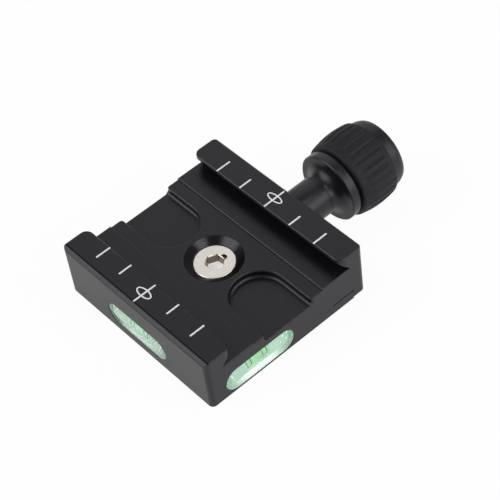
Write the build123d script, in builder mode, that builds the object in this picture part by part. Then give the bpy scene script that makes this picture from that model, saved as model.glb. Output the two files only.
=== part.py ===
from build123d import *
from math import cos, pi, sin
import os

# The origin is on the base, on the axis of the centre bush.
# X runs across the jaws towards the knob, Y along the channel, Z up.

# Overall sizes of the clamp, closed
jaw_length = 50.0
body_height = 15.2
closed_width = 46.8
bush_from_outer_face = 23.85
corner_radius = 1.25
outer_edge_chamfer = 0.85
soft_edge_chamfer = 0.35
edge_break = 0.2

# Dovetail channel
fixed_wall = 4.2
moving_wall = 3.75
flank_depth = 3.3
floor_height = 10.85
lip_corner_radius = 2.0

# Lowered island in the channel and the two pockets in it
island_half_width = 10.4
island_drop = 0.42
pocket_half_width = 6.9
pocket_centre_y = 15.3
pocket_floor_height = 8.5
pocket_foot_chamfer = 0.35
pocket_mouth_radius = 0.8

# Ledge under the sliding jaw
ledge_thickness = 2.8
ledge_end = 19.3
slit_gap = 0.1
hook_gap = 0.1
jaw_foot_height = 0.6

# Clamp stud and its axis
stud_axis_height = 5.7
stud_radius = 2.5
stud_from_bush = 0.89
stud_running_gap = 0.05
stud_pass_gap = 0.1
stud_end_chamfer = 0.4
travel = 6.5

# Grub screw that locks the stud
lock_screw_radius = 1.5
lock_screw_from_seam = 2.4
lock_screw_recess = 0.3
lock_screw_socket = 1.5
lock_screw_socket_depth = 1.4
lock_screw_tip_gap = 0.02

# Guide pins
guide_height = 5.5
guide_pin_from_end = 8.0
guide_pin_radius = 1.5
guide_pin_running_gap = 0.05
guide_pin_seat_depth = 9.0
guide_pin_reach = 9.5
guide_bore_spare = 0.5

# Return springs, each in a pair of blind bores across the seam
spring_from_guide_pin = 8.0
spring_mean_radius = 1.65
spring_wire = 0.45
spring_bore_gap = 0.3
spring_seat_depth = 6.0
spring_end_gap = 0.1
spring_turns = 5
spring_steps_per_turn = 8

# Centre bush with its hexagon socket and inner thread
bush_thread_radius = 4.76
bush_thread_gap = 0.02
bush_head_radius = 5.0
bush_head_gap = 0.1
bush_head_thickness = 0.9
flare_radius = 7.05
flare_depth = 1.08
bush_socket = 4.0
bush_socket_depth = 2.6
bush_socket_turn = 35.0
inner_thread_radius = 2.6
inner_thread_depth = 5.4

# Knob
washer_thickness = 0.5
washer_radius = 4.8
neck_radius = 5.13
neck_length = 8.9
neck_step = 0.35
flare_arc_radius = 2.9
flare_facets = 3
collar_radius = 8.9
collar_thickness = 2.45
groove_width = 0.7
hub_radius = 8.0
grip_length = 10.6
grip_start_radius = 9.55
grip_middle_radius = 10.35
grip_end_radius = 9.9
grip_facets = 2
grip_flutes = 28
flute_width = 1.0
flute_depth = 0.45
flute_start_radius = 9.6
flute_end_radius = 9.95
cap_gap = 0.2
cap_radius = 9.2
cap_length = 3.2
cap_shoulder_length = 2.2
cap_end_radius = 8.45
cap_spigot_length = 1.5
cavity_radius = 4.4
thread_length_in_knob = 12.7

# Stop on the free end of the stud
stop_washer_radius = 4.0
stop_washer_thickness = 0.7
stop_gap = 0.05
stop_screw_radius = 1.25
stop_screw_length = 5.5
stop_head_radius = 2.2
stop_head_thickness = 1.4
stop_head_socket = 1.5
stop_head_socket_depth = 0.9
stop_bore_spare = 0.5
stop_washer_bore_gap = 0.05

# Bubble vials
vial_length = 20.0
vial_height = 6.4
vial_fit_gap = 0.05
vial_depth = 4.8
vial_recess = 0.05
vial_pad_thickness = 0.25
vial_pad_length = 16.0
vial_pad_width = 5.0
vial_bore_radius = 2.2
vial_bore_depth = 2.55
vial_bore_end_wall = 1.6
vial_plug_length = 1.4
vial_plug_inset = 0.95
side_vial_height = 5.6
end_vial_from_outer_face = 14.7
end_vial_height = 3.8

# Places that follow from the sizes
outer_x = -bush_from_outer_face
jaw_face_x = outer_x + closed_width
fixed_corner_x = outer_x + fixed_wall
moving_corner_x = jaw_face_x - moving_wall
fixed_lip_x = fixed_corner_x + flank_depth
moving_lip_x = moving_corner_x - flank_depth
seam_x = island_half_width
island_height = floor_height - island_drop
half_length = jaw_length / 2
jaw_bottom = ledge_thickness + slit_gap
guide_pin_y = half_length - guide_pin_from_end
spring_y = guide_pin_y - spring_from_guide_pin
stud_start_x = bush_thread_radius + stud_from_bush
bush_head_top = island_height - flare_depth
washer_end_x = jaw_face_x + washer_thickness
neck_end_x = washer_end_x + neck_length
collar_x = neck_end_x + flare_arc_radius
collar_end_x = collar_x + collar_thickness
grip_x = collar_end_x + groove_width
grip_end_x = grip_x + grip_length
cap_x = grip_end_x + cap_gap
cap_end_x = cap_x + cap_length
cavity_x = washer_end_x + thread_length_in_knob
spring_bore_radius = spring_mean_radius + spring_wire / 2 + spring_bore_gap
stud_end_x = cavity_x + travel + stop_gap
stop_head_x = stud_end_x + stop_washer_thickness

os.makedirs("parts", exist_ok=True)


def finish(builder, name):
    """Label a finished piece and write it to its own file."""
    builder.part.label = name
    export_step(builder.part, f"parts/{name}.step")


def knob_axis_plane():
    """Plane holding the stud's axis, local x along the axis and local y upwards."""
    return Plane(origin=(0, 0, stud_axis_height), x_dir=(1, 0, 0), z_dir=(0, -1, 0))


def lip_corner_cut(edge_x, outward):
    """Plan of what is milled off a lip's inner corners, at both ends of the channel."""
    reach = lip_corner_radius
    for end in (-1, 1):
        with Locations((edge_x + outward * reach / 2, end * (half_length - reach / 2))):
            Rectangle(reach, reach)
        with Locations((edge_x + outward * reach, end * (half_length - reach))):
            Circle(reach, mode=Mode.SUBTRACT)


# Body: fixed jaw, channel floor and ledge in one piece
with BuildPart() as body:
    with BuildSketch(Plane.XZ):
        with BuildLine():
            Polyline(
                (outer_x, 0),
                (ledge_end, 0),
                (ledge_end, ledge_thickness),
                (seam_x, ledge_thickness),
                (seam_x, island_height),
                (-island_half_width, island_height),
                (-island_half_width, floor_height),
                (fixed_corner_x, floor_height),
                (fixed_lip_x, floor_height + flank_depth),
                (fixed_lip_x, body_height),
                (outer_x + outer_edge_chamfer, body_height),
                (outer_x, body_height - outer_edge_chamfer),
                close=True,
            )
        make_face()
    extrude(amount=half_length, both=True)
    # Rounded outer corners
    with BuildSketch(Plane.XY):
        with Locations((outer_x + closed_width / 2, 0)):
            RectangleRounded(closed_width, jaw_length, corner_radius)
    extrude(amount=body_height, mode=Mode.INTERSECT)
    # Rounded inner corners of the lip
    with BuildSketch(Plane.XY.offset(floor_height)):
        lip_corner_cut(fixed_lip_x, -1)
    extrude(amount=body_height - floor_height, mode=Mode.SUBTRACT)
    # U-shaped pockets, one from each end
    with BuildSketch(Plane.XY.offset(pocket_floor_height)):
        for end in (-1, 1):
            with Locations((0, end * pocket_centre_y)):
                Circle(pocket_half_width)
            with Locations((0, end * (pocket_centre_y + half_length) / 2)):
                Rectangle(2 * pocket_half_width, half_length - pocket_centre_y)
    extrude(amount=body_height, mode=Mode.SUBTRACT)
    foot_edges = body.edges().filter_by(
        lambda e: abs(e.center().Z - pocket_floor_height) < 0.01
        and abs(e.center().X) < pocket_half_width + 0.01
        and abs(abs(e.center().Y) - half_length) > 0.01
    )
    chamfer(foot_edges, pocket_foot_chamfer)
    mouth_edges = body.edges().filter_by(Axis.Z).filter_by(
        lambda e: abs(abs(e.center().X) - pocket_half_width) < 0.01
        and abs(abs(e.center().Y) - half_length) < 0.01
    )
    fillet(mouth_edges, pocket_mouth_radius)
    # Broken top edges at both ends
    end_edges = body.edges().filter_by(Axis.X).filter_by(
        lambda e: abs(abs(e.center().Y) - half_length) < 0.01 and e.center().Z > pocket_floor_height - 0.1
    )
    chamfer(end_edges, edge_break)
    bottom_edges = body.faces().sort_by(Axis.Z)[0].outer_wire().edges()
    chamfer(bottom_edges, edge_break)
    # Centre hole with its seat and flare
    with BuildSketch(Plane.XZ):
        with BuildLine():
            Polyline(
                (0, 0),
                (bush_thread_radius + bush_thread_gap, 0),
                (bush_thread_radius + bush_thread_gap, bush_head_top - bush_head_thickness),
                (bush_head_radius + bush_head_gap, bush_head_top - bush_head_thickness),
                (bush_head_radius + bush_head_gap, bush_head_top),
                (flare_radius, island_height),
                (flare_radius, body_height),
                (0, body_height),
                close=True,
            )
        make_face()
    revolve(axis=Axis.Z, mode=Mode.SUBTRACT)
    # Seat of the stud, holes of the guide pins and spring bores, from the seam inwards
    with BuildSketch(Plane.YZ.offset(seam_x)):
        with Locations((0, stud_axis_height)):
            Circle(stud_radius)
    extrude(amount=stud_start_x - seam_x, mode=Mode.SUBTRACT)
    with BuildSketch(Plane.YZ.offset(seam_x)):
        with Locations((-guide_pin_y, guide_height), (guide_pin_y, guide_height)):
            Circle(guide_pin_radius)
    extrude(amount=-guide_pin_seat_depth, mode=Mode.SUBTRACT)
    with BuildSketch(Plane.YZ.offset(seam_x)):
        with Locations((-spring_y, guide_height), (spring_y, guide_height)):
            Circle(spring_bore_radius)
    extrude(amount=-spring_seat_depth, mode=Mode.SUBTRACT)
    # Tapped hole of the lock screw, from the base up to the stud
    with BuildSketch(Plane.XY):
        with Locations((seam_x - lock_screw_from_seam, 0)):
            Circle(lock_screw_radius)
    extrude(amount=stud_axis_height, mode=Mode.SUBTRACT)
    # Slots of the two vials
    slot_depth = vial_recess + vial_depth + vial_pad_thickness
    with BuildSketch(Plane.YZ.offset(outer_x)):
        with Locations((0, side_vial_height)):
            SlotOverall(vial_length + 2 * vial_fit_gap, vial_height + 2 * vial_fit_gap)
    extrude(amount=slot_depth, mode=Mode.SUBTRACT)
    with BuildSketch(Plane.XZ.offset(half_length)):
        with Locations((outer_x + end_vial_from_outer_face, end_vial_height)):
            SlotOverall(vial_length + 2 * vial_fit_gap, vial_height + 2 * vial_fit_gap)
    extrude(amount=-slot_depth, mode=Mode.SUBTRACT)
finish(body, "body")

# Sliding jaw: lies on the ledge and hooks past its end
with BuildPart() as sliding_jaw:
    with BuildSketch(Plane.XZ):
        with BuildLine():
            Polyline(
                (seam_x, jaw_bottom),
                (ledge_end + hook_gap, jaw_bottom),
                (ledge_end + hook_gap, jaw_foot_height),
                (jaw_face_x, jaw_foot_height),
                (jaw_face_x, body_height - soft_edge_chamfer),
                (jaw_face_x - soft_edge_chamfer, body_height),
                (moving_lip_x, body_height),
                (moving_lip_x, floor_height + flank_depth),
                (moving_corner_x, floor_height),
                (seam_x + edge_break, floor_height),
                (seam_x, floor_height - edge_break),
                close=True,
            )
        make_face()
    extrude(amount=half_length, both=True)
    with BuildSketch(Plane.XY):
        with Locations((outer_x + closed_width / 2, 0)):
            RectangleRounded(closed_width, jaw_length, corner_radius)
    extrude(amount=body_height, mode=Mode.INTERSECT)
    with BuildSketch(Plane.XY.offset(floor_height)):
        lip_corner_cut(moving_lip_x, 1)
    extrude(amount=body_height - floor_height, mode=Mode.SUBTRACT)
    end_edges = sliding_jaw.edges().filter_by(Axis.X).filter_by(
        lambda e: abs(abs(e.center().Y) - half_length) < 0.01 and e.center().Z > floor_height - 0.1
    )
    chamfer(end_edges, edge_break)
    # Passage of the stud, bores of the guide pins and springs
    with BuildSketch(Plane.YZ.offset(seam_x)):
        with Locations((0, stud_axis_height)):
            Circle(stud_radius + stud_pass_gap)
    extrude(amount=closed_width, mode=Mode.SUBTRACT)
    with BuildSketch(Plane.YZ.offset(seam_x)):
        with Locations((-guide_pin_y, guide_height), (guide_pin_y, guide_height)):
            Circle(guide_pin_radius + guide_pin_running_gap)
    extrude(amount=guide_pin_reach + guide_bore_spare, mode=Mode.SUBTRACT)
    with BuildSketch(Plane.YZ.offset(seam_x)):
        with Locations((-spring_y, guide_height), (spring_y, guide_height)):
            Circle(spring_bore_radius)
    extrude(amount=spring_seat_depth, mode=Mode.SUBTRACT)
finish(sliding_jaw, "sliding_jaw")

# Centre bush: thread outside, hexagon socket on top, inner thread from the base
with BuildPart() as centre_bush:
    with BuildSketch(Plane.XZ):
        with BuildLine():
            Polyline(
                (0, 0),
                (bush_thread_radius, 0),
                (bush_thread_radius, bush_head_top - bush_head_thickness),
                (bush_head_radius, bush_head_top - bush_head_thickness),
                (bush_head_radius, bush_head_top),
                (0, bush_head_top),
                close=True,
            )
        make_face()
    revolve(axis=Axis.Z)
    with BuildSketch(Plane.XY.offset(bush_head_top)):
        RegularPolygon(bush_socket / 2, 6, major_radius=False, rotation=bush_socket_turn)
    extrude(amount=-bush_socket_depth, mode=Mode.SUBTRACT)
    with BuildSketch(Plane.XY):
        Circle(inner_thread_radius)
    extrude(amount=inner_thread_depth, mode=Mode.SUBTRACT)
finish(centre_bush, "centre_bush")

# Clamp stud: fixed in the body, carries the knob
with BuildPart() as clamp_stud:
    with BuildSketch(knob_axis_plane()):
        with BuildLine():
            Polyline(
                (stud_start_x, 0),
                (stud_start_x, stud_radius),
                (stud_end_x - stud_end_chamfer, stud_radius),
                (stud_end_x, stud_radius - stud_end_chamfer),
                (stud_end_x, stop_screw_radius),
                (stud_end_x - stop_screw_length - stop_bore_spare, stop_screw_radius),
                (stud_end_x - stop_screw_length - stop_bore_spare, 0),
                close=True,
            )
        make_face()
    revolve(axis=Axis((0, 0, stud_axis_height), (1, 0, 0)))
finish(clamp_stud, "clamp_stud")

# Grub screw that bears on the stud
with BuildPart() as stud_lock_screw:
    lock_screw_top = stud_axis_height - stud_radius - lock_screw_tip_gap
    with BuildSketch(Plane.XY.offset(lock_screw_recess)):
        with Locations((seam_x - lock_screw_from_seam, 0)):
            Circle(lock_screw_radius)
    extrude(amount=lock_screw_top - lock_screw_recess)
    with BuildSketch(Plane.XY.offset(lock_screw_recess)):
        with Locations((seam_x - lock_screw_from_seam, 0)):
            RegularPolygon(lock_screw_socket / 2, 6, major_radius=False)
    extrude(amount=lock_screw_socket_depth, mode=Mode.SUBTRACT)
finish(stud_lock_screw, "stud_lock_screw")

# Guide pins, pressed into the body and running in the jaw
for side, end in (("front", -1), ("rear", 1)):
    with BuildPart() as guide_pin:
        with BuildSketch(Plane.YZ.offset(seam_x - guide_pin_seat_depth)):
            with Locations((end * guide_pin_y, guide_height)):
                Circle(guide_pin_radius)
        extrude(amount=guide_pin_seat_depth + guide_pin_reach)
    finish(guide_pin, f"guide_pin_{side}")

# Return springs, coiled along X between the ends of their bores
spring_height = 2 * (spring_seat_depth - spring_end_gap) - spring_wire
spring_steps = spring_turns * spring_steps_per_turn
for side, end in (("front", -1), ("rear", 1)):
    with BuildPart() as return_spring:
        spring_points = [
            (
                seam_x + spring_height * (step / spring_steps - 0.5),
                end * spring_y + spring_mean_radius * cos(2 * pi * step / spring_steps_per_turn),
                guide_height + spring_mean_radius * sin(2 * pi * step / spring_steps_per_turn),
            )
            for step in range(spring_steps + 1)
        ]
        with BuildLine() as coil:
            Polyline(*spring_points)
        with BuildSketch(Plane(origin=coil.line @ 0, x_dir=(1, 0, 0), z_dir=coil.line % 0)):
            Rectangle(spring_wire, spring_wire)
        sweep(path=coil.line, transition=Transition.RIGHT)
    finish(return_spring, f"return_spring_{side}")

# Thrust washer between the jaw and the knob's neck
with BuildPart() as thrust_washer:
    with BuildSketch(Plane.YZ.offset(jaw_face_x)):
        with Locations((0, stud_axis_height)):
            Circle(washer_radius)
            Circle(stud_radius + stud_pass_gap, mode=Mode.SUBTRACT)
    extrude(amount=washer_thickness)
finish(thrust_washer, "thrust_washer")

# Knob core: neck, flared collar and hub
with BuildPart() as knob_core:
    thread_radius = stud_radius + stud_running_gap
    with BuildSketch(knob_axis_plane()):
        with BuildLine():
            flare_start = (neck_end_x, neck_radius - neck_step)
            flare_end = (collar_x, neck_radius - neck_step + flare_arc_radius)
            flare_arc = CenterArc((neck_end_x, flare_end[1]), flare_arc_radius, 270, 90, mode=Mode.PRIVATE)
            Polyline(
                *[flare_arc @ (step / flare_facets) for step in range(flare_facets + 1)],
                (collar_x, collar_radius),
                (collar_end_x, collar_radius),
                (collar_end_x, hub_radius),
                (grip_end_x, hub_radius),
                (grip_end_x, cavity_radius),
                (cavity_x, cavity_radius),
                (cavity_x, thread_radius),
                (washer_end_x, thread_radius),
                (washer_end_x, neck_radius),
                (neck_end_x, neck_radius),
                close=True,
            )
        make_face()
    revolve(axis=Axis((0, 0, stud_axis_height), (1, 0, 0)))
finish(knob_core, "knob_core")

# Cutter of one flute of the grip: a straight V, deepest at the middle of the barrel
with BuildPart() as flute_cutter:
    flute_start = Vector(flute_start_radius, 0, 0)
    flute_run = Vector(flute_end_radius - flute_start_radius, 0, grip_length)
    with BuildSketch(Plane(origin=flute_start, x_dir=(0, 1, 0), z_dir=flute_run)):
        with BuildLine():
            Polyline(
                (0, 0),
                (flute_width, -2 * flute_depth),
                (-flute_width, -2 * flute_depth),
                close=True,
            )
        make_face()
    extrude(amount=flute_run.length)

# Knob grip: barrel-shaped rubber sleeve with lengthwise flutes
knob_start_plane = Plane(origin=(grip_x, 0, stud_axis_height), x_dir=(0, 1, 0), z_dir=(1, 0, 0))
with BuildPart(knob_start_plane) as knob_grip:
    with BuildSketch(knob_axis_plane()):
        with BuildLine():
            grip_crown = ThreePointArc(
                (grip_x, grip_start_radius),
                ((grip_x + grip_end_x) / 2, grip_middle_radius),
                (grip_end_x, grip_end_radius),
                mode=Mode.PRIVATE,
            )
            Polyline(
                *[grip_crown @ (step / grip_facets) for step in range(grip_facets + 1)],
                (grip_end_x, hub_radius),
                (grip_x, hub_radius),
                close=True,
            )
        make_face()
    revolve(axis=Axis((0, 0, stud_axis_height), (1, 0, 0)))
    with PolarLocations(0, grip_flutes):
        add(flute_cutter.part, mode=Mode.SUBTRACT)
finish(knob_grip, "knob_grip")

# Knob cap: end cap with a spigot in the core
with BuildPart() as knob_cap:
    with BuildSketch(knob_axis_plane()):
        with BuildLine():
            Polyline(
                (grip_end_x - cap_spigot_length, 0),
                (grip_end_x - cap_spigot_length, cavity_radius),
                (cap_x, cavity_radius),
                (cap_x, cap_radius),
                (cap_x + cap_shoulder_length, cap_radius),
                (cap_end_x, cap_end_radius),
                (cap_end_x, 0),
                close=True,
            )
        make_face()
    revolve(axis=Axis((0, 0, stud_axis_height), (1, 0, 0)))
finish(knob_cap, "knob_cap")

# Stop washer and stop screw on the free end of the stud
with BuildPart() as stop_washer:
    with BuildSketch(Plane.YZ.offset(stud_end_x)):
        with Locations((0, stud_axis_height)):
            Circle(stop_washer_radius)
            Circle(stop_screw_radius + stop_washer_bore_gap, mode=Mode.SUBTRACT)
    extrude(amount=stop_washer_thickness)
finish(stop_washer, "stop_washer")

with BuildPart() as stop_screw:
    with BuildSketch(Plane.YZ.offset(stop_head_x)):
        with Locations((0, stud_axis_height)):
            Circle(stop_head_radius)
    extrude(amount=stop_head_thickness)
    with BuildSketch(Plane.YZ.offset(stop_head_x)):
        with Locations((0, stud_axis_height)):
            Circle(stop_screw_radius)
    extrude(amount=-(stop_screw_length + stop_washer_thickness))
    with BuildSketch(Plane.YZ.offset(stop_head_x + stop_head_thickness)):
        with Locations((0, stud_axis_height)):
            RegularPolygon(stop_head_socket / 2, 6, major_radius=False)
    extrude(amount=-stop_head_socket_depth, mode=Mode.SUBTRACT)
finish(stop_screw, "stop_screw")

# Bubble vials. Local x runs along the vial, local y upwards, local z out of the face.
side_vial_plane = Plane(origin=(outer_x, 0, side_vial_height), x_dir=(0, -1, 0), z_dir=(-1, 0, 0))
end_vial_plane = Plane(
    origin=(outer_x + end_vial_from_outer_face, -half_length, end_vial_height),
    x_dir=(1, 0, 0),
    z_dir=(0, -1, 0),
)
bore_start = -vial_length / 2 + vial_bore_end_wall
plug_end = vial_length / 2 - vial_plug_inset
plug_start = plug_end - vial_plug_length
for name, face_plane in (("side_vial", side_vial_plane), ("end_vial", end_vial_plane)):
    window_plane = face_plane.offset(-vial_recess)
    bore_plane = Plane(
        origin=window_plane.from_local_coords((bore_start, 0, -vial_bore_depth)),
        x_dir=face_plane.y_dir,
        z_dir=face_plane.x_dir,
    )
    with BuildPart() as vial_block:
        with BuildSketch(window_plane):
            SlotOverall(vial_length, vial_height)
        extrude(amount=-vial_depth)
        with BuildSketch(bore_plane):
            Circle(vial_bore_radius)
        extrude(amount=vial_length, mode=Mode.SUBTRACT)
    finish(vial_block, f"{name}_block")

    with BuildPart() as vial_liquid:
        with BuildSketch(bore_plane):
            Circle(vial_bore_radius)
        extrude(amount=plug_start - bore_start)
    finish(vial_liquid, f"{name}_liquid")

    with BuildPart() as vial_plug:
        with BuildSketch(bore_plane.offset(plug_start - bore_start)):
            Circle(vial_bore_radius)
        extrude(amount=vial_plug_length)
    finish(vial_plug, f"{name}_plug")

    with BuildPart() as vial_pad:
        with BuildSketch(window_plane.offset(-vial_depth)):
            Rectangle(vial_pad_length, vial_pad_width)
        extrude(amount=-vial_pad_thickness)
    finish(vial_pad, f"{name}_pad")
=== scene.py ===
"""Dovetail quick release clamp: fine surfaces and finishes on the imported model, in a plain studio."""
from math import cos, pi, radians, sin, tau

import bpy
import numpy as np
from bpy.props import FloatProperty, FloatVectorProperty, IntProperty, PointerProperty
from mathutils import Matrix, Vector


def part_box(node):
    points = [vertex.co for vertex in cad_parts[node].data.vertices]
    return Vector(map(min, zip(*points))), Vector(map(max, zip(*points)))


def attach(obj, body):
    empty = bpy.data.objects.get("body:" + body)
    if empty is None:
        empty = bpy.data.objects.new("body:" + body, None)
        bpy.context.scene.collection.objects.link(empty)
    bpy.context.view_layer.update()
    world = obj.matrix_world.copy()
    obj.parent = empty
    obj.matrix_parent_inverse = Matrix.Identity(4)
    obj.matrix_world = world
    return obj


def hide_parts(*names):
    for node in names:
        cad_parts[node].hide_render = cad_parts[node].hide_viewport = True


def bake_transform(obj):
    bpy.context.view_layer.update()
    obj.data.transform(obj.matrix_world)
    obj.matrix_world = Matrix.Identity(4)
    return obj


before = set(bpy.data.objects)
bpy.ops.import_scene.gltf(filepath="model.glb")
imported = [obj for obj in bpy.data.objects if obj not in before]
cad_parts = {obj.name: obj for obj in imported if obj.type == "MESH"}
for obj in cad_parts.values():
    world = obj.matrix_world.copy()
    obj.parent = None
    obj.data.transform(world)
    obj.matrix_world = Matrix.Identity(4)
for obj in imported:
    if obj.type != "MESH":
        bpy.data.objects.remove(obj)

bl_info = {
    "name": "Dovetail Quick Release Clamp",
    "version": (1, 0, 0),
    "blender": (4, 5, 0),
    "location": "3D View > Sidebar > Clamp",
    "description": "Adds the clamp's turned, threaded and glazed pieces, their finishes and a plain studio",
    "category": "Object",
}

MM = 0.001
X, Y, Z = np.eye(3)


def node_box(name):
    """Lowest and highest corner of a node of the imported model, in millimetres."""
    low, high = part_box(name)
    return np.array(low) / MM, np.array(high) / MM


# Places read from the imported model, in millimetres
body_low, body_high = node_box("body")
jaw_low, jaw_high = node_box("sliding_jaw")
core_low, core_high = node_box("knob_core")
grip_low, grip_high = node_box("knob_grip")
cap_low, cap_high = node_box("knob_cap")
stud_low, stud_high = node_box("clamp_stud")
AXIS_HEIGHT = (stud_low[2] + stud_high[2]) / 2
OUTER_X = body_low[0]
TOP_Z = body_high[2]
BUSH_TOP = node_box("centre_bush")[1][2]

# Sizes that pieces share, in millimetres
OUTER_ROUNDING = 0.95
HUB_RADIUS = 8.0
KNOB_CAVITY_RADIUS = 4.4
BUSH_SOCKET_DEPTH = 2.6
TUBE_RADIUS = 2.2


# Shader building

class Wire:
    """A shader socket that takes part in plain arithmetic: each operator adds one Math node."""

    def __init__(self, tree, socket):
        self.tree = tree
        self.socket = socket

    def math(self, operation, *values):
        node = self.tree.nodes.new("ShaderNodeMath")
        node.operation = operation
        for slot, value in zip(node.inputs, values):
            if isinstance(value, Wire):
                self.tree.links.new(value.socket, slot)
            else:
                slot.default_value = value
        return Wire(self.tree, node.outputs[0])

    def __add__(self, other):
        return self.math("ADD", self, other)

    def __sub__(self, other):
        return self.math("SUBTRACT", self, other)

    def __rsub__(self, other):
        return self.math("SUBTRACT", other, self)

    def __mul__(self, other):
        return self.math("MULTIPLY", self, other)

    def __pow__(self, other):
        return self.math("POWER", self, other)

    def sin(self):
        return self.math("SINE", self)

    def above(self, edge):
        return self.math("GREATER_THAN", self, edge)

    def between(self, low, high):
        return self.above(low) - self.above(high)

    __radd__ = __add__
    __rmul__ = __mul__


class Finish:
    """A procedural material: a principled shader, constants on its own sockets and nodes that vary it."""

    def __init__(self, name, constants):
        self.material = bpy.data.materials.new(name)
        self.material.use_nodes = True
        self.tree = self.material.node_tree
        self.shader = self.tree.nodes["Principled BSDF"]
        for socket, value in constants.items():
            self.shader.inputs[socket].default_value = value
        self.place = self.node("ShaderNodeTexCoord", {}, {}, "Object")

    def node(self, kind, settings, inputs, output=0):
        """Add a node: its settings first, then its sockets' values or links. Returns one output."""
        node = self.tree.nodes.new(kind)
        for name, value in settings.items():
            setattr(node, name, value)
        for name, value in inputs.items():
            if isinstance(value, Wire):
                self.tree.links.new(value.socket, node.inputs[name])
            else:
                node.inputs[name].default_value = value
        return Wire(self.tree, node.outputs[output])

    def feed(self, socket, wire):
        """Link a varying value to one of the shader's sockets."""
        self.tree.links.new(wire.socket, self.shader.inputs[socket])

    def blend(self, factor, other):
        """Give way to another shader by a factor from 0 to 1."""
        shader = Wire(self.tree, self.shader.outputs[0])
        mixed = self.node("ShaderNodeMixShader", {}, {0: factor, 1: shader, 2: other})
        surface = self.tree.nodes["Material Output"].inputs["Surface"]
        self.tree.links.new(mixed.socket, surface)

    def noise(self, scale, detail=2.0, stretch=None):
        """Noise between 0 and 1 on the piece's own coordinates, its scale in features per metre."""
        place = self.place
        if stretch:
            place = self.node("ShaderNodeMapping", {}, {"Vector": self.place, "Scale": stretch})
        inputs = {"Vector": place, "Scale": scale, "Detail": detail}
        return self.node("ShaderNodeTexNoise", {}, inputs, "Fac")

    def mix(self, factor, first, second):
        """Blend of two colours, given as values or wires."""
        return self.node("ShaderNodeMix", {"data_type": "RGBA"}, {0: factor, 6: first, 7: second}, 2)

    def ramp(self, value, low, high, most=1.0):
        """0 up to the low value, then evenly up to the most at the high value."""
        return self.node("ShaderNodeMapRange", {}, {
            "Value": value, "From Min": low, "From Max": high, "To Max": most})

    def vectors(self, operation, first, second):
        """Number worked out from two vectors."""
        return self.node("ShaderNodeVectorMath", {"operation": operation}, {0: first, 1: second}, "Value")

    def axes(self):
        """The three coordinates of a point, in metres."""
        parts = self.node("ShaderNodeSeparateXYZ", {}, {"Vector": self.place})
        return [Wire(self.tree, socket) for socket in parts.socket.node.outputs]

    def soft_edges(self, radius):
        """Normals that round the edges off by the radius given."""
        return self.node("ShaderNodeBevel", {"samples": 6}, {"Radius": radius}, "Normal")

    def edges(self, radius):
        """1 at an edge and 0 away from it: how far the rounded normals lean from the true ones."""
        true = self.node("ShaderNodeNewGeometry", {}, {}, "True Normal")
        return self.ramp(self.vectors("DOT_PRODUCT", true, self.soft_edges(radius)), 0.99, 0.8)

    def relief(self, height, distance, strength=1.0, normal=None):
        """Bump from a height in 0 to 1 over the distance given, on top of the normals given."""
        inputs = {"Height": height, "Distance": distance, "Strength": strength}
        if normal:
            inputs["Normal"] = normal
        self.feed("Normal", self.node("ShaderNodeBump", {}, inputs, "Normal"))


def grey(level):
    return (level, level, level, 1)


def tone(colour, factor):
    """Colour with each channel times the factor, or times its own factor."""
    return [*(np.array(colour[:3]) * factor).tolist(), 1]


# Surfaces

def shell(grid, ring=False, poles=(None, None)):
    """One closed surface from a grid of points, rows by columns.

    Each cell of the grid is a face and the columns wrap round. On a ring the rows wrap too; otherwise
    a fan to its pole closes the first row and the last. A shell whose volume comes out negative is turned
    inside out, so that its faces point outwards.
    """
    rows, columns = grid.shape[:2]
    points = grid.reshape(-1, 3)
    row = np.arange(rows if ring else rows - 1)[:, None]
    column = np.arange(columns)[None, :]
    following = (column + 1) % columns
    lower, upper = row * columns, ((row + 1) % rows) * columns
    corners = (lower + column, lower + following, upper + following, upper + column)
    quads = np.stack(corners, -1).reshape(-1, 4)
    fans = np.zeros((0, 3), int)
    if not ring:
        points = np.concatenate((points, np.array(poles, float)))
        start, pole = (rows - 1) * columns, 0 * column + rows * columns
        first = np.stack((pole, following, column), -1).reshape(-1, 3)
        last = np.stack((pole + 1, start + column, start + following), -1).reshape(-1, 3)
        fans = np.concatenate((first, last))
    triangles = np.concatenate((quads[:, :3], quads[:, [0, 2, 3]], fans))
    a, b, c = (points[triangles[:, k]] for k in range(3))
    if np.einsum("ij,ij->i", a, np.cross(b, c)).sum() < 0:
        quads, fans = quads[:, ::-1], fans[:, ::-1]
    return points * MM, quads, fans


def piece(name, shells, finish, body, slot_name, stands_for=(), sharp_angle=32.0):
    """Object made of closed shells, riding on a body, with its finish and the nodes that it stands for."""
    points, faces = [], []
    for places, quads, fans in shells:
        faces += (quads + len(points)).tolist() + (fans + len(points)).tolist()
        points += places.tolist()
    mesh = bpy.data.meshes.new(name)
    mesh.from_pydata(points, [], faces)
    mesh.validate()
    mesh.shade_smooth()
    mesh.set_sharp_from_angle(angle=radians(sharp_angle))
    mesh.materials.append(finish)
    made = bpy.data.objects.new(name, mesh)
    bpy.context.collection.objects.link(made)
    if stands_for:
        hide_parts(*stands_for)
    if body:
        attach(made, body)
    return made


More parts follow.
